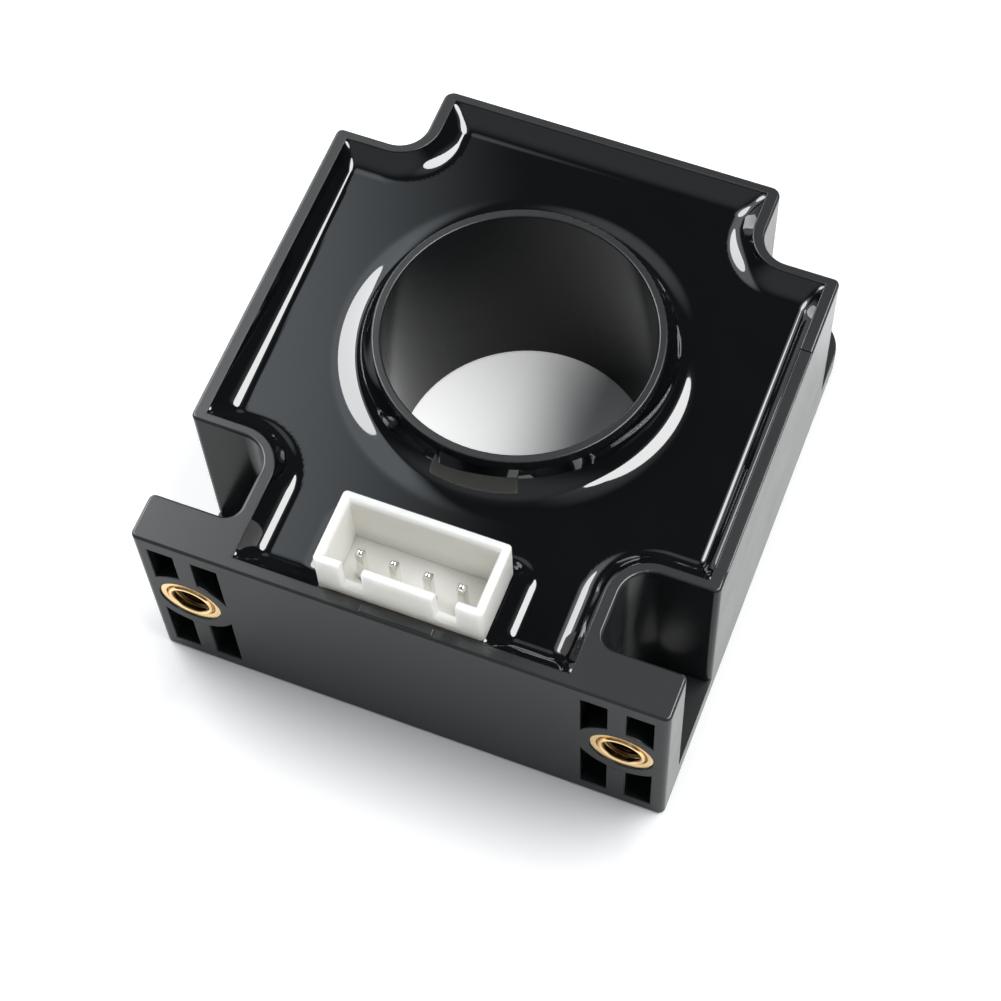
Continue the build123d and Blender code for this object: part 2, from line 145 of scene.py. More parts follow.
def moulded_skin():
    """Grain of a mould's surface as a normal, and the uneven gloss that goes with it"""
    tree = new_group(
        "moulded_skin",
        {"Grain per metre": 9000.0, "Grain depth": 0.15, "Gloss": 0.4, "Gloss spread": 0.06},
        {"Normal": "NodeSocketVector", "Roughness": "NodeSocketFloat", "Cloud": "NodeSocketFloat"},
    )
    place = add_node(tree, "ShaderNodeTexCoord")
    grain = add_node(tree, "ShaderNodeTexNoise")
    grain.inputs["Detail"].default_value = 3.0
    bump = add_node(tree, "ShaderNodeBump")
    bump.inputs["Distance"].default_value = 0.00002
    cloud = add_node(tree, "ShaderNodeTexNoise")
    cloud.inputs["Scale"].default_value = 260.0
    cloud.inputs["Detail"].default_value = 4.0
    cloud.inputs["Roughness"].default_value = 0.6
    centred = add_node(tree, "ShaderNodeMath", operation="SUBTRACT")
    centred.inputs[1].default_value = 0.5
    spread = add_node(tree, "ShaderNodeMath", operation="MULTIPLY_ADD")
    tree.links.new(place.outputs["Object"], grain.inputs["Vector"])
    tree.links.new(place.outputs["Object"], cloud.inputs["Vector"])
    tree.links.new(tree.nodes["in"].outputs["Grain per metre"], grain.inputs["Scale"])
    tree.links.new(tree.nodes["in"].outputs["Grain depth"], bump.inputs["Strength"])
    tree.links.new(grain.outputs["Fac"], bump.inputs["Height"])
    tree.links.new(cloud.outputs["Fac"], centred.inputs[0])
    tree.links.new(centred.outputs[0], spread.inputs[0])
    tree.links.new(tree.nodes["in"].outputs["Gloss spread"], spread.inputs[1])
    tree.links.new(tree.nodes["in"].outputs["Gloss"], spread.inputs[2])
    tree.links.new(bump.outputs["Normal"], tree.nodes["out"].inputs["Normal"])
    tree.links.new(spread.outputs[0], tree.nodes["out"].inputs["Roughness"])
    tree.links.new(cloud.outputs["Fac"], tree.nodes["out"].inputs["Cloud"])
    return tree


skin_group = moulded_skin()


def new_material(name, colour, settings):
    """A material whose plain sockets are set here, with its tree and shader"""
    made = bpy.data.materials.new(name)
    made.use_nodes = True
    shader = made.node_tree.nodes["Principled BSDF"]
    shader.inputs["Base Color"].default_value = (*colour, 1)
    for socket, value in settings.items():
        shader.inputs[socket].default_value = value
    return made, made.node_tree, shader


def skinned_material(name, colours, skin, settings):
    """A moulded or cast material: the skin's clouds move it between two colours"""
    made, tree, shader = new_material(name, colours[0], settings)
    surface = add_node(tree, "ShaderNodeGroup", node_tree=skin_group)
    for socket, value in skin.items():
        surface.inputs[socket].default_value = value
    shades = add_node(tree, "ShaderNodeMix", data_type="RGBA")
    shades.inputs["A"].default_value = (*colours[0], 1)
    shades.inputs["B"].default_value = (*colours[1], 1)
    tree.links.new(surface.outputs["Cloud"], shades.inputs["Factor"])
    tree.links.new(shades.outputs["Result"], shader.inputs["Base Color"])
    tree.links.new(surface.outputs["Roughness"], shader.inputs["Roughness"])
    tree.links.new(surface.outputs["Normal"], shader.inputs["Normal"])
    return made


case_plastic = skinned_material(
    "case_plastic",
    (plastic_black, plastic_grey),
    {"Grain per metre": 7000.0, "Grain depth": 0.12, "Gloss": 0.19, "Gloss spread": 0.08},
    {"IOR": 1.18, "Coat IOR": 1.64, "Coat Roughness": 0.29},
)
# Upward faces have a second gloss, which fades in as the normal turns from a wall's to a top's
case_tree = case_plastic.node_tree
surface_facing = add_node(case_tree, "ShaderNodeNewGeometry")
facing_parts = add_node(case_tree, "ShaderNodeSeparateXYZ")
upwards = add_node(case_tree, "ShaderNodeMapRange", interpolation_type="SMOOTHSTEP")
upwards.inputs["From Min"].default_value = wall_normal_z
upwards.inputs["From Max"].default_value = top_normal_z
case_tree.links.new(surface_facing.outputs["Normal"], facing_parts.inputs[0])
case_tree.links.new(facing_parts.outputs["Z"], upwards.inputs["Value"])
case_shader = case_tree.nodes["Principled BSDF"]
case_tree.links.new(upwards.outputs["Result"], case_shader.inputs["Coat Weight"])
case = welded_copy("case", "moulded_case")


def on_tube(place):
    """Whether a point lies on the conductor tube"""
    return math.hypot(place.x, place.y - bore_y) < tube_radius + weld_distance


round_edges(case, case_edge_radius, left_out=on_tube)
smooth(case)
# The tube's lip and outer wall are shaded as a true round, whatever facets the mesh has there
lip_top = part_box("case")[1].z
corner_normals = [corner.vector.copy() for corner in case.data.corner_normals]
for polygon in case.data.polygons:
    for corner in polygon.loop_indices:
        place = case.data.vertices[case.data.loops[corner].vertex_index].co
        outwards = Vector((place.x, place.y - bore_y, 0))
        radius = outwards.length
        above_round = place.z - (lip_top - lip_radius)
        on_lip = above_round > -weld_distance and bore_radius - radius < weld_distance
        if on_lip and radius - tube_radius < weld_distance:
            middle = min(max(radius, bore_radius + lip_radius), tube_radius - lip_radius)
            facing = outwards.normalized() * (radius - middle)
            facing.z = above_round
            corner_normals[corner] = facing.normalized()
        elif (
            abs(radius - tube_radius) < 2 * weld_distance
            and abs(polygon.normal.z) < tube_wall_tilt
        ):
            corner_normals[corner] = outwards.normalized()
case.data.normals_split_custom_set(corner_normals)
case.data.materials.append(case_plastic)


# Threaded inserts: turned brass, each with a flange flush with the front face, a low ring round
# its mouth and an M3 thread, moulded into the lugs.
insert_faces = 96
thread_pitch = 0.0005
thread_turns = 5
thread_root_radius = 0.0015
thread_crest_radius = 0.00125
thread_steps = 40
thread_start = 0.00055
ridge_bite = 0.00001
ridge_root_share = 0.46
ridge_crest_share = 0.08
# Down the hole the brass is painted near black, as painted shade, fading out between these radii
hole_shade_radius = 0.00142
hole_shade_end_radius = 0.00152
# Round this radius the brass is painted dark brown, as painted shade in the groove
groove_radius = 0.00186
groove_core = 0.00003
groove_edge = 0.00009


def turned_brass():
    """Brass with fine tool rings, and painted shade in its groove and its hole, on either insert"""
    made, tree, shader = new_material(
        "turned_brass", (0.80, 0.52, 0.24), {"Metallic": 1.0, "Roughness": 0.2}
    )
    place = add_node(tree, "ShaderNodeTexCoord")
    split = add_node(tree, "ShaderNodeSeparateXYZ")
    either_side = add_node(tree, "ShaderNodeMath", operation="ABSOLUTE")
    from_axis = add_node(tree, "ShaderNodeMath", operation="SUBTRACT")
    from_axis.inputs[1].default_value = insert_x
    above_axis = add_node(tree, "ShaderNodeMath", operation="SUBTRACT")
    above_axis.inputs[1].default_value = insert_z
    across = add_node(tree, "ShaderNodeCombineXYZ")
    radius = add_node(tree, "ShaderNodeVectorMath", operation="LENGTH")
    rings = add_node(tree, "ShaderNodeTexNoise", noise_dimensions="1D")
    rings.inputs["Scale"].default_value = 16000.0
    bump = add_node(tree, "ShaderNodeBump")
    bump.inputs["Strength"].default_value = 0.25
    bump.inputs["Distance"].default_value = 0.000012
    tarnish = add_node(tree, "ShaderNodeTexNoise")
    tarnish.inputs["Scale"].default_value = 900.0
    tarnish.inputs["Detail"].default_value = 3.0
    tone = add_node(tree, "ShaderNodeMix", data_type="RGBA")
    tone.inputs["A"].default_value = (0.95, 0.7, 0.36, 1)
    tone.inputs["B"].default_value = (0.84, 0.56, 0.25, 1)
    hole_shade_fade = add_node(tree, "ShaderNodeMapRange", interpolation_type="SMOOTHSTEP")
    hole_shade_fade.inputs["From Min"].default_value = hole_shade_radius
    hole_shade_fade.inputs["From Max"].default_value = hole_shade_end_radius
    groove_shade_mask = add_node(tree, "ShaderNodeMapRange", interpolation_type="SMOOTHSTEP")
    groove_shade_mask.inputs["From Min"].default_value = groove_core
    groove_shade_mask.inputs["From Max"].default_value = groove_edge
    groove_shade_mask.inputs["To Min"].default_value = 1.0
    groove_shade_mask.inputs["To Max"].default_value = 0.0
    groove_distance = add_node(tree, "ShaderNodeMath", operation="SUBTRACT")
    groove_distance.inputs[1].default_value = groove_radius
    either_edge = add_node(tree, "ShaderNodeMath", operation="ABSOLUTE")
    # Painted shade down the hole: the brass goes near black inside the thread
    painted_hole_shade = add_node(tree, "ShaderNodeMix", data_type="RGBA")
    painted_hole_shade.inputs["A"].default_value = (0.05, 0.026, 0.01, 1)
    # Painted shade in the groove: a dark brown band round its radius
    painted_groove_shade = add_node(tree, "ShaderNodeMix", data_type="RGBA")
    painted_groove_shade.inputs["B"].default_value = (0.3, 0.15, 0.05, 1)
    gloss = add_node(tree, "ShaderNodeMapRange")
    gloss.inputs["To Min"].default_value = 0.14
    gloss.inputs["To Max"].default_value = 0.32
    tree.links.new(place.outputs["Object"], split.inputs[0])
    tree.links.new(split.outputs["X"], either_side.inputs[0])
    tree.links.new(either_side.outputs[0], from_axis.inputs[0])
    tree.links.new(split.outputs["Z"], above_axis.inputs[0])
    tree.links.new(from_axis.outputs[0], across.inputs["X"])
    tree.links.new(above_axis.outputs[0], across.inputs["Z"])
    tree.links.new(across.outputs[0], radius.inputs[0])
    tree.links.new(radius.outputs["Value"], rings.inputs["W"])
    tree.links.new(rings.outputs["Fac"], bump.inputs["Height"])
    tree.links.new(bump.outputs["Normal"], shader.inputs["Normal"])
    tree.links.new(place.outputs["Object"], tarnish.inputs["Vector"])
    tree.links.new(tarnish.outputs["Fac"], tone.inputs["Factor"])
    tree.links.new(radius.outputs["Value"], hole_shade_fade.inputs["Value"])
    tree.links.new(hole_shade_fade.outputs["Result"], painted_hole_shade.inputs["Factor"])
    tree.links.new(tone.outputs["Result"], painted_hole_shade.inputs["B"])
    tree.links.new(radius.outputs["Value"], groove_distance.inputs[0])
    tree.links.new(groove_distance.outputs[0], either_edge.inputs[0])
    tree.links.new(either_edge.outputs[0], groove_shade_mask.inputs["Value"])
    tree.links.new(groove_shade_mask.outputs["Result"], painted_groove_shade.inputs["Factor"])
    tree.links.new(painted_hole_shade.outputs["Result"], painted_groove_shade.inputs["A"])
    tree.links.new(painted_groove_shade.outputs["Result"], shader.inputs["Base Color"])
    tree.links.new(tarnish.outputs["Fac"], gloss.inputs["Value"])
    tree.links.new(gloss.outputs["Result"], shader.inputs["Roughness"])
    return made


insert_low, insert_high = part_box("insert_right")
insert_x = (insert_low.x + insert_high.x) / 2
insert_z = (insert_low.z + insert_high.z) / 2
insert_front = insert_low.y
brass = turned_brass()
# Radius and depth behind the front face, from the back round the outside to the thread
insert_turning = [
    (0.00215, 0.0032),
    (0.00215, 0.0022),
    (0.0019, 0.0022),
    (0.0019, 0.0016),
    (0.00215, 0.0016),
    (0.00215, 0.0006),
    (0.0024, 0.0006),
    (0.0024, 0.00018),
    (0.00236, 0.00012),
    (0.0023, 0.0001),
    (0.00195, 0.00016),
    (0.0019, 0.00028),
    (0.00182, 0.0003),
    (0.00178, 0.00016),
    (0.00175, 0.00006),
    (0.00171, 0.00002),
    (0.00165, 0.0),
    (0.00157, 0.0),
    (0.0015, 0.00004),
    (0.00142, 0.00015),
    (thread_root_radius, 0.0003),
    (thread_root_radius, 0.0032),
]


def turned(name, outline, winding_turns, pitch, steps):
    """Turn a closed outline of radius and depth about the Y axis, straight round or as a thread"""
    count = len(outline)
    edges = [(index, (index + 1) % count) for index in range(count)]
    mesh = bpy.data.meshes.new(name)
    mesh.from_pydata([(radius, depth, 0) for radius, depth in outline], edges, [])
    piece = bpy.data.objects.new(name, mesh)
    bpy.context.scene.collection.objects.link(piece)
    take_up(piece)
    turning = piece.modifiers.new("turning", "SCREW")
    turning.axis = "Y"
    turning.angle = math.tau
    turning.screw_offset = pitch
    turning.iterations = winding_turns
    turning.steps = steps
    turning.render_steps = steps
    turning.use_merge_vertices = pitch == 0
    turning.merge_threshold = weld_distance
    bpy.ops.object.modifier_apply(modifier=turning.name)
    bpy.ops.object.mode_set(mode="EDIT")
    if pitch:
        bpy.ops.mesh.select_all(action="DESELECT")
        bpy.ops.mesh.select_non_manifold()
        bpy.ops.mesh.edge_face_add()
    bpy.ops.mesh.select_all(action="SELECT")
    bpy.ops.mesh.normals_make_consistent(inside=False)
    bpy.ops.object.mode_set(mode="OBJECT")
    return piece


def turn_insert(name, centre):
    """Body of an insert with the thread's ridge wound inside it, at its place in the lug"""
    body = turned(name, insert_turning, 1, 0, insert_faces)
    root = thread_root_radius + ridge_bite
    half_root = thread_pitch * ridge_root_share
    half_crest = thread_pitch * ridge_crest_share
    ridge_outline = [
        (root, -half_root),
        (thread_crest_radius, -half_crest),
        (thread_crest_radius, half_crest),
        (root, half_root),
    ]
    ridge = turned(f"{name}_thread", ridge_outline, thread_turns, thread_pitch, thread_steps)
    ridge.data.transform(Matrix.Translation((0, thread_start, 0)))
    ridge.select_set(True)
    body.select_set(True)
    bpy.context.view_layer.objects.active = body
    bpy.ops.object.join()
    body.data.transform(Matrix.Translation(centre))
    return body


for side_name, side in (("left", -1), ("right", 1)):
    centre = Vector((side * insert_x, insert_front, insert_z))
    insert = turn_insert(f"threaded_insert_{side_name}", centre)
    smooth(insert)
    insert.data.materials.append(brass)
    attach(insert, "root")
    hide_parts(f"insert_{side_name}")


# Core and carrier: a pressed ferrite ring with an air gap, in a tray moulded from grey nylon.
# Both are sealed in the compound, as is all that follows up to the header.
def finish_node(node, material):
    """Give a CAD node this material alone"""
    nodes[node].data.materials.clear()
    nodes[node].data.materials.append(material)


core_ferrite = skinned_material(
    "core_ferrite",
    ((0.045, 0.045, 0.05), (0.09, 0.09, 0.095)),
    {"Grain per metre": 5200.0, "Grain depth": 0.5, "Gloss": 0.55, "Gloss spread": 0.15},
    {"Metallic": 0.35},
)
carrier_nylon = skinned_material(
    "carrier_nylon",
    ((0.16, 0.165, 0.17), (0.2, 0.205, 0.21)),
    {"Grain per metre": 6500.0, "Grain depth": 0.2, "Gloss": 0.5, "Gloss spread": 0.08},
    {},
)
finish_node("magnetic_core", core_ferrite)
finish_node("core_carrier", carrier_nylon)


# Circuit board: green lacquer over woven glass, with the copper under it showing as a lighter
# tone. It rests on the carrier's posts and goes round the tube.
board_weave = 620.0
copper_scale = 240.0
copper_share = 0.42


def lacquered_board():
    """Lacquer whose colour follows the weave and wide areas of copper under it"""
    made, tree, shader = new_material("board_laminate", (0.01, 0.09, 0.045), {"IOR": 1.55})
    place = add_node(tree, "ShaderNodeTexCoord")
    weave = add_node(tree, "ShaderNodeTexWave", wave_type="BANDS", bands_direction="X")
    weave.inputs["Scale"].default_value = board_weave
    cross = add_node(tree, "ShaderNodeTexWave", wave_type="BANDS", bands_direction="Y")
    cross.inputs["Scale"].default_value = board_weave
    cloth = add_node(tree, "ShaderNodeMath", operation="MULTIPLY")
    copper = add_node(tree, "ShaderNodeTexVoronoi", feature="F1", distance="CHEBYCHEV")
    copper.inputs["Scale"].default_value = copper_scale
    copper_edge = add_node(tree, "ShaderNodeMath", operation="GREATER_THAN")
    copper_edge.inputs[1].default_value = copper_share
    tone = add_node(tree, "ShaderNodeMix", data_type="RGBA")
    tone.inputs["A"].default_value = (0.008, 0.075, 0.035, 1)
    tone.inputs["B"].default_value = (0.02, 0.14, 0.06, 1)
    bump = add_node(tree, "ShaderNodeBump")
    bump.inputs["Strength"].default_value = 0.2
    bump.inputs["Distance"].default_value = 0.00002
    gloss = add_node(tree, "ShaderNodeMapRange")
    gloss.inputs["To Min"].default_value = 0.28
    gloss.inputs["To Max"].default_value = 0.42
    for texture in (weave, cross, copper):
        tree.links.new(place.outputs["Object"], texture.inputs["Vector"])
    tree.links.new(weave.outputs["Fac"], cloth.inputs[0])
    tree.links.new(cross.outputs["Fac"], cloth.inputs[1])
    tree.links.new(copper.outputs["Distance"], copper_edge.inputs[0])
    tree.links.new(copper_edge.outputs[0], tone.inputs["Factor"])
    tree.links.new(tone.outputs["Result"], shader.inputs["Base Color"])
    tree.links.new(cloth.outputs[0], bump.inputs["Height"])
    tree.links.new(cloth.outputs[0], gloss.inputs["Value"])
    tree.links.new(gloss.outputs["Result"], shader.inputs["Roughness"])
    tree.links.new(bump.outputs["Normal"], shader.inputs["Normal"])
    return made


finish_node("circuit_board", lacquered_board())


# Solder and leads: bright tin, wetted round each hole of the board, and the tinned legs of the
# chips, which stand on the board's pads.
solder_tin = skinned_material(
    "solder_tin",
    ((0.66, 0.66, 0.68), (0.78, 0.78, 0.79)),
    {"Grain per metre": 3800.0, "Grain depth": 0.35, "Gloss": 0.28, "Gloss spread": 0.14},
    {"Metallic": 1.0},
)
lead_nodes = ["header_solder", "hall_solder", "amplifier_leads", "regulator_leads"]
lead_nodes += [f"hall_lead_{number}" for number in (1, 2, 3)]
for node in lead_nodes:
    finish_node(node, solder_tin)


# Chips, Hall element and small parts: the chips, the diode and the Hall element have moulded
# epoxy bodies, and the resistors and capacitors are fired ceramic. All are soldered down.
chip_epoxy = skinned_material(
    "chip_epoxy",
    ((0.02, 0.02, 0.021), (0.032, 0.032, 0.033)),
    {"Grain per metre": 11000.0, "Grain depth": 0.45, "Gloss": 0.55, "Gloss spread": 0.1},
    {},
)
resistor_glaze = skinned_material(
    "resistor_glaze",
    ((0.03, 0.03, 0.034), (0.05, 0.05, 0.055)),
    {"Grain per metre": 6000.0, "Grain depth": 0.15, "Gloss": 0.22, "Gloss spread": 0.06},
    {},
)
capacitor_ceramic = skinned_material(
    "capacitor_ceramic",
    ((0.42, 0.3, 0.19), (0.5, 0.37, 0.25)),
    {"Grain per metre": 9000.0, "Grain depth": 0.25, "Gloss": 0.4, "Gloss spread": 0.1},
    {},
)
body_materials = {"amplifier_chip": chip_epoxy, "regulator_chip": chip_epoxy, "diode": chip_epoxy}
body_materials["hall_sensor"] = chip_epoxy
for number in range(1, 7):
    body_materials[f"resistor_{number}"] = resistor_glaze
for number in range(1, 5):
    body_materials[f"capacitor_{number}"] = capacitor_ceramic
for node, material in body_materials.items():
    finish_node(node, material)


# Header housing: white nylon, moulded with soft corners, and slightly clear at thin edges. It
# stands on the board and comes up through the compound, with two key slots towards the front.
housing_edge_radius = 0.00011
header_nylon = skinned_material(
    "header_nylon",
    ((0.80, 0.785, 0.74), (0.84, 0.825, 0.785)),
    {"Grain per metre": 5200.0, "Grain depth": 0.1, "Gloss": 0.38, "Gloss spread": 0.08},
    {"Subsurface Weight": 1.0, "Subsurface Scale": 0.0018, "Subsurface Radius": (1.0, 0.95, 0.85)},
)
housing = welded_copy("header_housing", "shrouded_header")
round_edges(housing, housing_edge_radius, 3)
smooth(housing)
housing.data.materials.append(header_nylon)


# Header pins: four lengths of square brass wire with pressed points, tinned, pushed through the
# floor of the housing and soldered into the board.
pin_edge_radius = 0.00012
pin_tin = skinned_material(
    "pin_tin",
    ((0.74, 0.73, 0.69), (0.86, 0.85, 0.8)),
    {"Grain per metre": 4200.0, "Grain depth": 0.12, "Gloss": 0.13, "Gloss spread": 0.1},
    {"Metallic": 1.0},
)
for number in range(1, 5):
    pin = welded_copy(f"header_pin_{number}", f"contact_pin_{number}")
    round_edges(pin, pin_edge_radius, 3)
    smooth(pin)
    pin.data.materials.append(pin_tin)


# Potting compound: black resin poured over the board up to just below the rim. It wets the walls,
# the header and most of all the tube, and cures with a raised, very glossy edge along each.
cell = 0.00025
wall_rise = 0.0012
wall_reach = 0.0019
right_wall_reach = 0.0013
left_front_reach = 0.0025
left_rear_reach = 0.001
edge_hollow = 2.0
past_contact = 1.03
tube_foot_rise = 0.00091
tube_foot_reach = 0.0031
tube_collar_rise = 0.00114
tube_collar_reach = 0.0015
compound_low, compound_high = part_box("potting_compound")
header_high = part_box("header_housing")[1]
tube_rise = tube_foot_rise + tube_collar_rise
resin_level = compound_high.z - tube_rise
inner_half_width = compound_high.x
front_wall_y = compound_low.y
rear_wall_y = compound_high.y
notch_x = 0.0125
front_notch_y = -0.0108
rear_notch_y = 0.0148
notch_radius = 0.0033
header_half_length = header_high.x
header_back_y = header_high.y
header_corner = 0.00035
dry_header = 0.25
dry_fade = 0.0012
ring_count = 20
ring_growth = 1.7
ring_reach = 0.0033
tube_bite = 0.00002
rim_search = 0.0005
level_margin = 1e-5
upward_normal = 0.02
cut_margin = 1e-7
open_end = 1


def beyond_box(x, y, half_x, low_y, high_y, radius):
    """Distance from a point outside a box with round corners, mirrored in X about its middle"""
    over_x = abs(x) - half_x + radius
    over_y = abs(y - (low_y + high_y) / 2) - (high_y - low_y) / 2 + radius
    return math.hypot(max(over_x, 0), max(over_y, 0)) + min(max(over_x, over_y), 0) - radius


def meniscus(distance, reach, rise):
    """Height of the edge that leaves a wetted face at its rise and runs out into the level"""
    return rise * min(max(1 - distance / reach, 0), past_contact) ** edge_hollow


def resin_height(x, y):
    """Height of the cured surface over a point of the cavity"""
    notch_middle = notch_x + inner_half_width
    from_notch = abs(x) - notch_middle
    walls = (
        y - front_wall_y,
        rear_wall_y - y,
        beyond_box(from_notch, y, inner_half_width, -open_end, front_notch_y, notch_radius),
        beyond_box(from_notch, y, inner_half_width, rear_notch_y, open_end, notch_radius),
    )
    from_header = beyond_box(x, y, header_half_length, -open_end, header_back_y, header_corner)
    wetting = min(max((x + header_half_length) / dry_fade, dry_header), 1)
    calm = 1 - wetting * meniscus(from_header, wall_reach, 1)
    calm *= 1 - meniscus(inner_half_width - x, right_wall_reach, 1)
    rearwards = (y - front_wall_y) / (rear_wall_y - front_wall_y)
    left_wall_reach = left_front_reach + (left_rear_reach - left_front_reach) * rearwards
    calm *= 1 - meniscus(inner_half_width + x, left_wall_reach, 1)
    for distance in walls:
        calm *= 1 - meniscus(distance, wall_reach, 1)
    from_tube = math.hypot(x, y - bore_y) - tube_radius
    at_tube = meniscus(from_tube, tube_foot_reach, tube_foot_rise)
    at_tube += meniscus(from_tube, tube_collar_reach, tube_collar_rise)
    return resin_level + wall_rise * (1 - calm) + at_tube


def resin_normal(x, y):
    """Direction that the cured surface faces over a point, from its slope"""
    step = 1e-5
    slope_x = (resin_height(x + step, y) - resin_height(x - step, y)) / (2 * step)
    slope_y = (resin_height(x, y + step) - resin_height(x, y - step)) / (2 * step)
    return Vector((-slope_x, -slope_y, 1)).normalized()


def tube_rim(mesh):
    """Open edges round the tube"""
    return [
        edge
        for edge in mesh.edges
        if edge.is_boundary
        and all(math.hypot(v.co.x, v.co.y - bore_y) < tube_radius + rim_search for v in edge.verts)
    ]


def set_radius(vert, radius):
    """Move a point straight in or out to this distance from the tube's axis"""
    outwards = Vector((vert.co.x, vert.co.y - bore_y)).normalized() * radius
    vert.co.x = outwards.x
    vert.co.y = bore_y + outwards.y


# The solid's top is cut away. Rings of faces that widen outwards go round the tube, a fine lattice
# fills the rest, and both are raised to the cured surface.
compound = welded_copy("potting_compound", "resin_filling")
surface = bmesh.new()
surface.from_mesh(compound.data)
top_layer = surface.faces.layers.int.new("top")
ring_part = 1
lattice_part = 2
dip_faces = [
    face
    for face in surface.faces
    if face.calc_center_median().z > resin_level - level_margin and face.normal.z > upward_normal
]
bmesh.ops.delete(surface, geom=dip_faces, context="FACES")
bmesh.ops.subdivide_edges(surface, edges=tube_rim(surface), cuts=2)
rim = tube_rim(surface)
for vert in {vert for edge in rim for vert in edge.verts}:
    set_radius(vert, tube_radius - tube_bite)
for ring in range(1, ring_count + 1):
    reach = tube_radius + ring_reach * (ring / ring_count) ** ring_growth
    grown = bmesh.ops.extrude_edge_only(surface, edges=rim)["geom"]
    ring_verts = {item for item in grown if isinstance(item, bmesh.types.BMVert)}
    rim = [
        item
        for item in grown
        if isinstance(item, bmesh.types.BMEdge) and ring_verts.issuperset(item.verts)
    ]
    for vert in ring_verts:
        set_radius(vert, reach)
    for item in grown:
        if isinstance(item, bmesh.types.BMFace):
            item[top_layer] = ring_part
open_edges = [edge for edge in surface.edges if edge.is_boundary]
filled = bmesh.ops.triangle_fill(surface, edges=open_edges, use_beauty=True, normal=(0, 0, 1))
for item in filled["geom"]:
    if isinstance(item, bmesh.types.BMFace):
        item[top_layer] = lattice_part
x_cuts = int(inner_half_width / cell)
y_cuts = int((rear_wall_y - front_wall_y) / cell)
cuts = [((step * cell, 0, 0), (1, 0, 0)) for step in range(-x_cuts, x_cuts + 1)]
cuts += [((0, front_wall_y + step * cell, 0), (0, 1, 0)) for step in range(1, y_cuts)]
for place, direction in cuts:
    region = [face for face in surface.faces if face[top_layer] == lattice_part]
    edges = {edge for face in region for edge in face.edges}
    verts = {vert for face in region for vert in face.verts}
    bmesh.ops.bisect_plane(
        surface,
        geom=[*verts, *edges, *region],
        dist=cut_margin,
        plane_co=place,
        plane_no=direction,
    )
for vert in {vert for face in surface.faces if face[top_layer] for vert in face.verts}:
    vert.co.z = resin_height(vert.co.x, vert.co.y)
bmesh.ops.recalc_face_normals(surface, faces=surface.faces)
surface.to_mesh(compound.data)
surface.free()
smooth(compound)
corner_normals = [corner.vector.copy() for corner in compound.data.corner_normals]
on_top = compound.data.attributes["top"].data
for polygon in compound.data.polygons:
    if on_top[polygon.index].value:
        for corner in polygon.loop_indices:
            place = compound.data.vertices[compound.data.loops[corner].vertex_index].co
            corner_normals[corner] = resin_normal(place.x, place.y)
compound.data.normals_split_custom_set(corner_normals)
compound.data.attributes.remove(compound.data.attributes["top"])
potting_resin = skinned_material(
    "potting_resin",
    ((0.0024, 0.003, 0.0036), (0.0034, 0.004, 0.0046)),
    {"Grain per metre": 420.0, "Grain depth": 0.04, "Gloss": 0.045, "Gloss spread": 0.02},
    {"IOR": 1.6, "Coat Weight": 1.0, "Coat IOR": 1.5, "Coat Roughness": 0.02},
)
compound.data.materials.append(potting_resin)


# Floor and surroundings: a white table in a dim room. Two soft boxes stand high behind the part,
# to its left and its right, and throw its shadow forwards. The table's glow is painted uneven:
# painted shade dims it close round the part, and a painted pool of light brightens it through the
# part's window.
floor_size = 6.0
floor_drop = 0.00002
# Strength of the floor's glow: painted shade near the part, full far off, painted light under the
# bore
painted_shade_lift = 0.02
lift_far = 0.32
painted_bore_light = 0.38
painted_shade_spans = (("X", 0.0165, 0.023), ("Y", 0.0215, 0.04))
painted_light_spans = (("X", 0.005, -0.004), ("Y", -0.0165, -0.012))
bpy.ops.object.select_all(action="DESELECT")
bpy.ops.mesh.primitive_plane_add(size=floor_size, location=(0, 0, -floor_drop))
floor = bpy.context.object
floor.name = "floor"
floor_white, floor_tree, floor_shader = new_material(
    "floor_white", (0.88, 0.88, 0.88), {"Roughness": 0.9, "Specular IOR Level": 0.0}
)
floor_place = add_node(floor_tree, "ShaderNodeTexCoord")
floor_split = add_node(floor_tree, "ShaderNodeSeparateXYZ")
lift_past_painted_shade = add_node(floor_tree, "ShaderNodeMath", operation="MAXIMUM")
floor_tree.links.new(floor_place.outputs["Object"], floor_split.inputs[0])
# Painted shade: the floor's glow falls almost to none close round the part, and shows so in
# reflections
for socket, (axis, near, far) in enumerate(painted_shade_spans):
    either_way = add_node(floor_tree, "ShaderNodeMath", operation="ABSOLUTE")
    painted_shade_fade = add_node(floor_tree, "ShaderNodeMapRange", interpolation_type="SMOOTHSTEP")
    painted_shade_fade.inputs["From Min"].default_value = near
    painted_shade_fade.inputs["From Max"].default_value = far
    painted_shade_fade.inputs["To Min"].default_value = painted_shade_lift
    painted_shade_fade.inputs["To Max"].default_value = lift_far
    floor_tree.links.new(floor_split.outputs[axis], either_way.inputs[0])
    floor_tree.links.new(either_way.outputs[0], painted_shade_fade.inputs["Value"])
    floor_tree.links.new(painted_shade_fade.outputs["Result"], lift_past_painted_shade.inputs[socket])
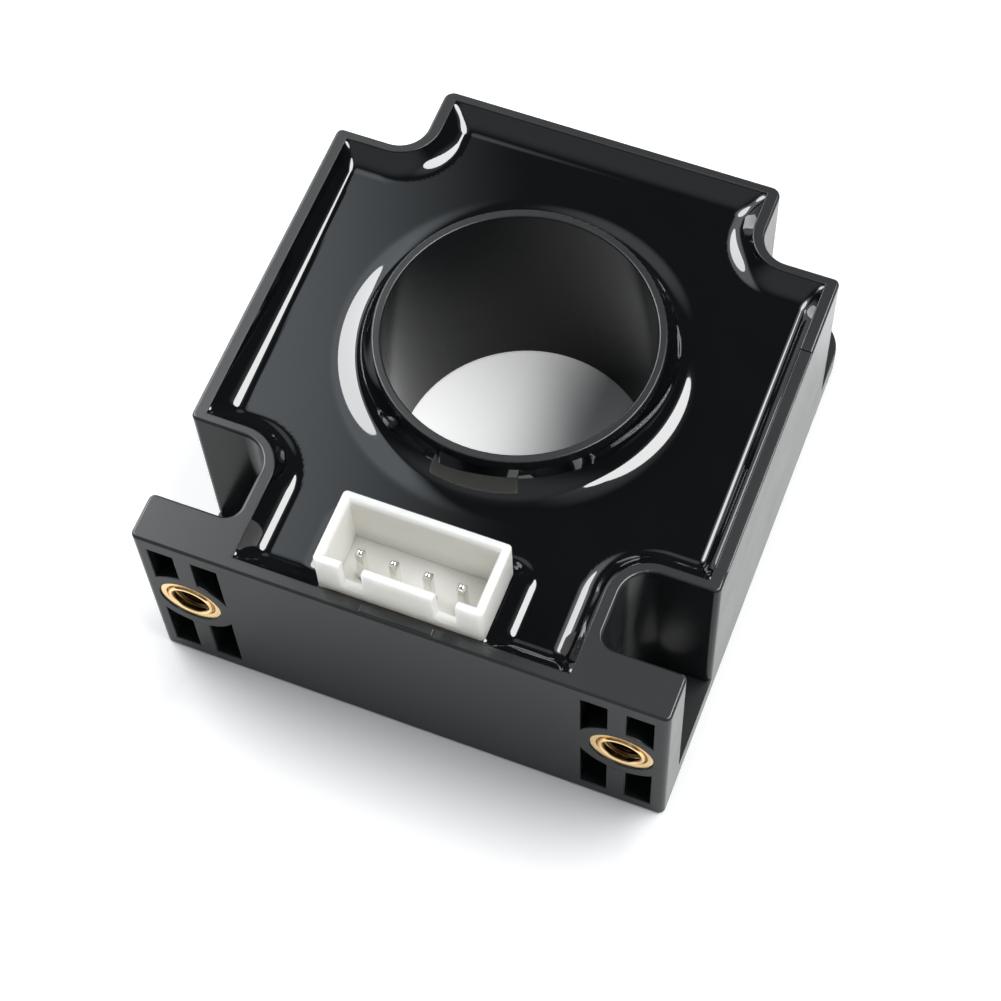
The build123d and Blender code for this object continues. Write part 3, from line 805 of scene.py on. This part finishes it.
# Painted light: a pool of glow on the floor under the bore, bright on its left, none on its right
painted_light_masks = []
for axis, dark, bright in painted_light_spans:
    painted_light_reach = add_node(floor_tree, "ShaderNodeMapRange", interpolation_type="SMOOTHSTEP")
    painted_light_reach.inputs["From Min"].default_value = min(dark, bright)
    painted_light_reach.inputs["From Max"].default_value = max(dark, bright)
    painted_light_reach.inputs["To Min"].default_value = float(dark > bright)
    painted_light_reach.inputs["To Max"].default_value = float(dark < bright)
    floor_tree.links.new(floor_split.outputs[axis], painted_light_reach.inputs["Value"])
    painted_light_masks.append(painted_light_reach.outputs["Result"])
painted_light_mask = add_node(floor_tree, "ShaderNodeMath", operation="MULTIPLY")
painted_bore_glow = add_node(floor_tree, "ShaderNodeMath", operation="MULTIPLY")
painted_bore_glow.inputs[1].default_value = painted_bore_light
any_lift = add_node(floor_tree, "ShaderNodeMath", operation="MAXIMUM")
floor_tree.links.new(painted_light_masks[0], painted_light_mask.inputs[0])
floor_tree.links.new(painted_light_masks[1], painted_light_mask.inputs[1])
floor_tree.links.new(painted_light_mask.outputs[0], painted_bore_glow.inputs[0])
floor_tree.links.new(painted_bore_glow.outputs[0], any_lift.inputs[0])
floor_tree.links.new(lift_past_painted_shade.outputs[0], any_lift.inputs[1])
seen = add_node(floor_tree, "ShaderNodeLightPath")
seen_or_mirrored = add_node(floor_tree, "ShaderNodeMath", operation="MAXIMUM")
or_through_glass = add_node(floor_tree, "ShaderNodeMath", operation="MAXIMUM")
lift = add_node(floor_tree, "ShaderNodeMath", operation="MULTIPLY")
floor_shader.inputs["Emission Color"].default_value = (1, 1, 1, 1)
floor_tree.links.new(seen.outputs["Is Camera Ray"], seen_or_mirrored.inputs[0])
floor_tree.links.new(seen.outputs["Is Glossy Ray"], seen_or_mirrored.inputs[1])
floor_tree.links.new(seen_or_mirrored.outputs[0], or_through_glass.inputs[0])
floor_tree.links.new(seen.outputs["Is Transmission Ray"], or_through_glass.inputs[1])
floor_tree.links.new(or_through_glass.outputs[0], lift.inputs[0])
floor_tree.links.new(any_lift.outputs[0], lift.inputs[1])
floor_tree.links.new(lift.outputs[0], floor_shader.inputs["Emission Strength"])
floor.data.materials.append(floor_white)

world = bpy.data.worlds.new("dim_room")
bpy.context.scene.world = world
world.use_nodes = True
room = world.node_tree
room_light = room.nodes["Background"]
direction = add_node(room, "ShaderNodeTexCoord")


def add_glow(towards, inner, outer, brightness):
    """Brightness that fades between two angles from a direction of the room"""
    nearness = add_node(room, "ShaderNodeVectorMath", operation="DOT_PRODUCT")
    nearness.inputs[1].default_value = towards
    fade = add_node(room, "ShaderNodeMapRange", interpolation_type="SMOOTHSTEP")
    fade.inputs["From Min"].default_value = math.cos(math.radians(outer))
    fade.inputs["From Max"].default_value = math.cos(math.radians(inner))
    fade.inputs["To Max"].default_value = brightness
    room.links.new(direction.outputs["Generated"], nearness.inputs[0])
    room.links.new(nearness.outputs["Value"], fade.inputs["Value"])
    return fade.outputs["Result"]


def heading(azimuth, elevation):
    """Unit vector from the part at this angle round it and above the floor"""
    turn = math.radians(azimuth)
    lean = math.radians(elevation)
    level = math.cos(lean)
    return Vector((math.cos(turn) * level, math.sin(turn) * level, math.sin(lean)))


# Each glow's direction, the angles from it where it starts and ends fading, and its brightness
room_shade = 0.03
glows = (
    (heading(160, 45), 24, 31.5, 1.0),
    (heading(20, 60), 16, 30, 0.3),
    (heading(95, 38), 3, 14, 0.4),
    (heading(275, 35), 20, 60, 0.25),
)
lit = None
for towards, inner, outer, brightness in glows:
    gathered = add_node(room, "ShaderNodeMath", operation="ADD")
    gathered.inputs[1].default_value = room_shade
    room.links.new(add_glow(towards, inner, outer, brightness), gathered.inputs[0])
    if lit:
        room.links.new(lit, gathered.inputs[1])
    lit = gathered.outputs[0]
room.links.new(lit, room_light.inputs["Strength"])
room_light.inputs["Color"].default_value = (0.88, 0.95, 1, 1)

part_middle = Vector((0, bore_y, 0.01))
panel_distance = 0.6


def add_panel(name, azimuth, elevation, width, height, radiance):
    """A soft box at this angle round the part, facing it, of a given brightness"""
    lamp = bpy.data.lights.new(name, "AREA")
    lamp.shape = "ELLIPSE"
    lamp.size = width
    lamp.size_y = height
    lamp.energy = radiance * math.pi * (math.pi / 4 * width * height)
    panel = bpy.data.objects.new(name, lamp)
    bpy.context.scene.collection.objects.link(panel)
    away = heading(azimuth, elevation)
    panel.location = part_middle + panel_distance * away
    panel.rotation_mode = "QUATERNION"
    panel.rotation_quaternion = away.to_track_quat("Z", "Y")
    panel.visible_camera = False


add_panel("panel_left", 160, 45, 0.43, 0.33, 6.4)
add_panel("panel_right", 20, 60, 0.58, 0.29, 8.4)


# Camera: above the front right corner and turned a little about its own axis. Its long lens looks
# at a point between the header and the middle of the part.
camera_place = Vector((0.036688, -0.082505, 0.168615))
camera_target = Vector((0.003309, -0.010091, 0.0176))
camera_roll = math.radians(-3.81)
lens = bpy.data.cameras.new("camera")
lens.sensor_width = 36.0
lens.lens = 87.856
lens.clip_start = 0.01
camera = bpy.data.objects.new("camera", lens)
bpy.context.scene.collection.objects.link(camera)
camera.location = camera_place
camera.rotation_mode = "QUATERNION"
facing = (camera_target - camera_place).to_track_quat("-Z", "Y")
camera.rotation_quaternion = facing @ Quaternion((0, 0, 1), camera_roll)
bpy.context.scene.camera = camera
bpy.context.scene.view_settings.view_transform = "Standard"
